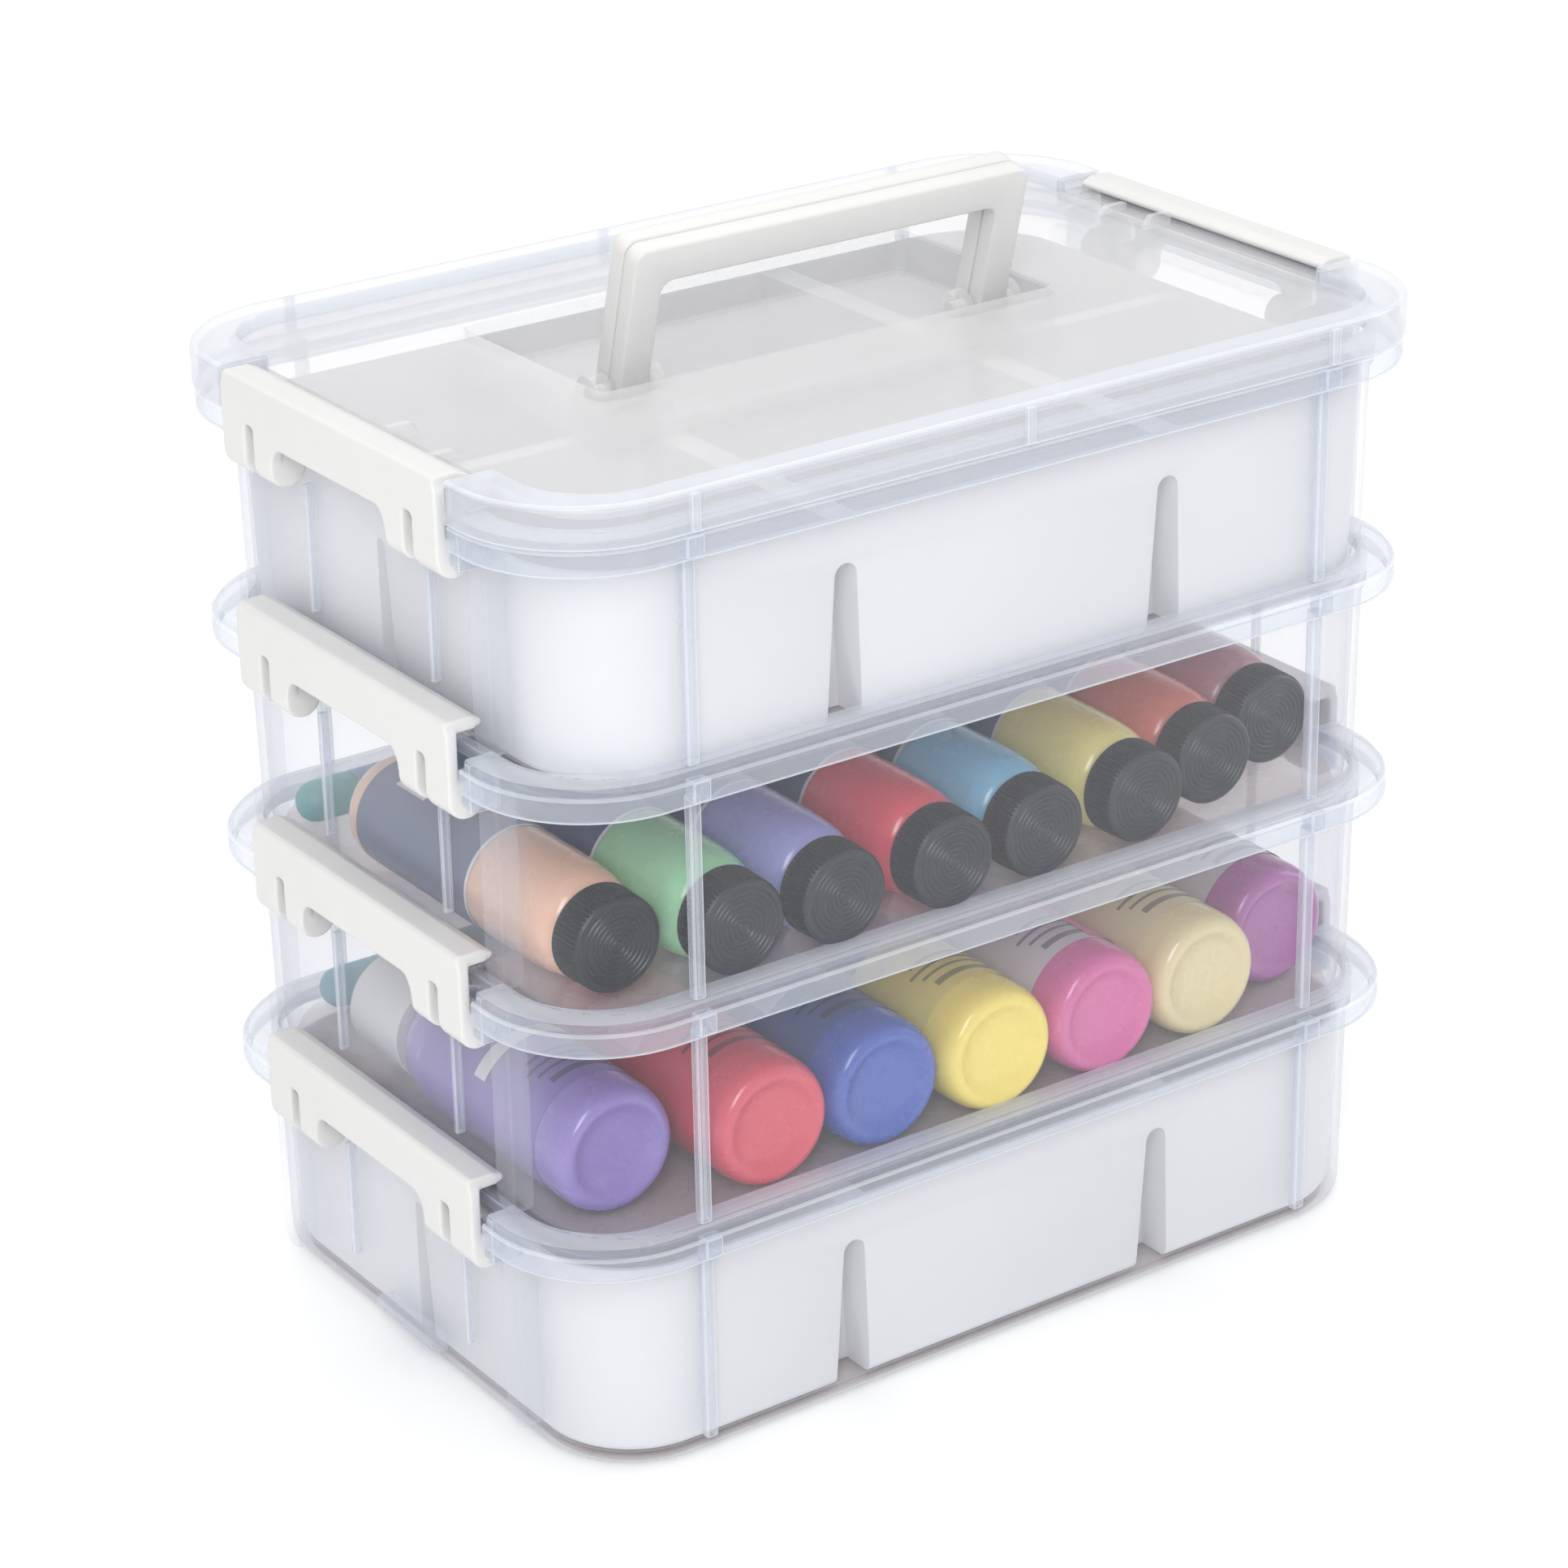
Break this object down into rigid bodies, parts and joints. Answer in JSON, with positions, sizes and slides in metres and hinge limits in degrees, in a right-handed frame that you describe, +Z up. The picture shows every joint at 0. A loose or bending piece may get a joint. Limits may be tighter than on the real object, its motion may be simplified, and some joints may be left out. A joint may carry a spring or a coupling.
{
  "type": "art supply box",
  "caption": "Stack-and-carry art supply box: clear nesting trays with snap latches, a lid with a folding handle, compartment organisers and paint bottles inside.",
  "frame": {"origin": "centre of the footprint on the table, under the bottom tray", "axes": "+X along the long side, +Y from the front to the back, +Z up"},
  "size_m": [0.2534, 0.1694, 0.2623],
  "materials": {
    "clear_plastic": "glossy, clear and faintly bluish polypropylene",
    "white_plastic": "satin opaque white",
    "insert_plastic": "soft satin opaque white",
    "dark_cap": "satin charcoal",
    "marker_blue": "glossy",
    "marker_teal": "glossy",
    "paint_peach": "glossy bottle of coloured paint",
    "paint_green": "glossy bottle of coloured paint",
    "paint_lavender": "glossy bottle of coloured paint",
    "paint_red": "glossy bottle of coloured paint",
    "paint_sky": "glossy bottle of coloured paint",
    "paint_lemon": "glossy bottle of coloured paint",
    "paint_coral": "glossy bottle of coloured paint",
    "paint_mauve": "glossy bottle of coloured paint",
    "paint_purple": "glossy bottle of coloured paint",
    "paint_scarlet": "glossy bottle of coloured paint",
    "paint_blue": "glossy bottle of coloured paint",
    "paint_yellow": "glossy bottle of coloured paint",
    "paint_magenta": "glossy bottle of coloured paint",
    "paint_cream": "glossy bottle of coloured paint",
    "paint_plum": "glossy bottle of coloured paint"
  },
  "bodies": {
    "base": {"tray_4": "clear_plastic"},
    "organiser_bottom": {"organiser_bottom": "insert_plastic"},
    "tray_3": {"tray_3": "clear_plastic", "bottle_purple": "paint_purple", "cap_purple": "white_plastic", "bottle_scarlet": "paint_scarlet", "cap_scarlet": "white_plastic", "bottle_blue": "paint_blue", "cap_blue": "white_plastic", "bottle_yellow": "paint_yellow", "cap_yellow": "white_plastic", "bottle_magenta": "paint_magenta", "cap_magenta": "white_plastic", "bottle_cream": "paint_cream", "cap_cream": "white_plastic", "bottle_plum": "paint_plum", "cap_plum": "white_plastic", "marker_teal_barrel": "marker_teal", "marker_teal_cap": "marker_teal"},
    "tray_2": {"tray_2": "clear_plastic", "bottle_peach": "paint_peach", "cap_peach": "dark_cap", "bottle_green": "paint_green", "cap_green": "dark_cap", "bottle_lavender": "paint_lavender", "cap_lavender": "dark_cap", "bottle_red": "paint_red", "cap_red": "dark_cap", "bottle_sky": "paint_sky", "cap_sky": "dark_cap", "bottle_lemon": "paint_lemon", "cap_lemon": "dark_cap", "bottle_coral": "paint_coral", "cap_coral": "dark_cap", "bottle_mauve": "paint_mauve", "cap_mauve": "dark_cap", "marker_blue_barrel": "marker_blue", "marker_blue_cap": "marker_teal"},
    "tray_1": {"tray_1": "clear_plastic"},
    "organiser_top": {"organiser_top": "insert_plastic"},
    "lid": {"lid": "clear_plastic"},
    "handle": {"handle_front_half": "white_plastic", "handle_rear_half": "white_plastic"},
    "latch_left_1": {"latch_left_1": "white_plastic"},
    "latch_right_1": {"latch_right_1": "white_plastic"},
    "latch_left_2": {"latch_left_2": "white_plastic"},
    "latch_right_2": {"latch_right_2": "white_plastic"},
    "latch_left_3": {"latch_left_3": "white_plastic"},
    "latch_right_3": {"latch_right_3": "white_plastic"},
    "latch_left_4": {"latch_left_4": "white_plastic"},
    "latch_right_4": {"latch_right_4": "white_plastic"}
  },
  "joints": [
    {"name": "organiser_bottom_lift", "type": "slide", "parent": "base", "child": "organiser_bottom", "axis": [0, 0, 1], "range_m": [0, 0.06]},
    {"name": "tray_3_lift", "type": "slide", "parent": "organiser_bottom", "child": "tray_3", "axis": [0, 0, 1], "range_m": [0, 0.06]},
    {"name": "tray_2_lift", "type": "slide", "parent": "tray_3", "child": "tray_2", "axis": [0, 0, 1], "range_m": [0, 0.06]},
    {"name": "tray_1_lift", "type": "slide", "parent": "tray_2", "child": "tray_1", "axis": [0, 0, 1], "range_m": [0, 0.06]},
    {"name": "organiser_top_lift", "type": "slide", "parent": "tray_1", "child": "organiser_top", "axis": [0, 0, 1], "range_m": [0, 0.06]},
    {"name": "lid_lift", "type": "slide", "parent": "organiser_top", "child": "lid", "axis": [0, 0, 1], "range_m": [0, 0.06]},
    {"name": "handle_fold", "type": "hinge", "parent": "lid", "child": "handle", "pos_m": [0, 0, 0.2246], "axis": [-1, 0, 0], "range_deg": [0, 105]},
    {"name": "latch_left_1_swing", "type": "hinge", "parent": "tray_1", "child": "latch_left_1", "pos_m": [-0.1222, 0, 0.2145], "axis": [0, -1, 0], "range_deg": [0, 110]},
    {"name": "latch_right_1_swing", "type": "hinge", "parent": "tray_1", "child": "latch_right_1", "pos_m": [0.1222, 0, 0.2145], "axis": [0, 1, 0], "range_deg": [0, 110]},
    {"name": "latch_left_2_swing", "type": "hinge", "parent": "tray_2", "child": "latch_left_2", "pos_m": [-0.1222, 0, 0.1595], "axis": [0, -1, 0], "range_deg": [0, 110]},
    {"name": "latch_right_2_swing", "type": "hinge", "parent": "tray_2", "child": "latch_right_2", "pos_m": [0.1222, 0, 0.1595], "axis": [0, 1, 0], "range_deg": [0, 110]},
    {"name": "latch_left_3_swing", "type": "hinge", "parent": "tray_3", "child": "latch_left_3", "pos_m": [-0.1222, 0, 0.1045], "axis": [0, -1, 0], "range_deg": [0, 110]},
    {"name": "latch_right_3_swing", "type": "hinge", "parent": "tray_3", "child": "latch_right_3", "pos_m": [0.1222, 0, 0.1045], "axis": [0, 1, 0], "range_deg": [0, 110]},
    {"name": "latch_left_4_swing", "type": "hinge", "parent": "base", "child": "latch_left_4", "pos_m": [-0.1222, 0, 0.0495], "axis": [0, -1, 0], "range_deg": [0, 110]},
    {"name": "latch_right_4_swing", "type": "hinge", "parent": "base", "child": "latch_right_4", "pos_m": [0.1222, 0, 0.0495], "axis": [0, 1, 0], "range_deg": [0, 110]}
  ]
}
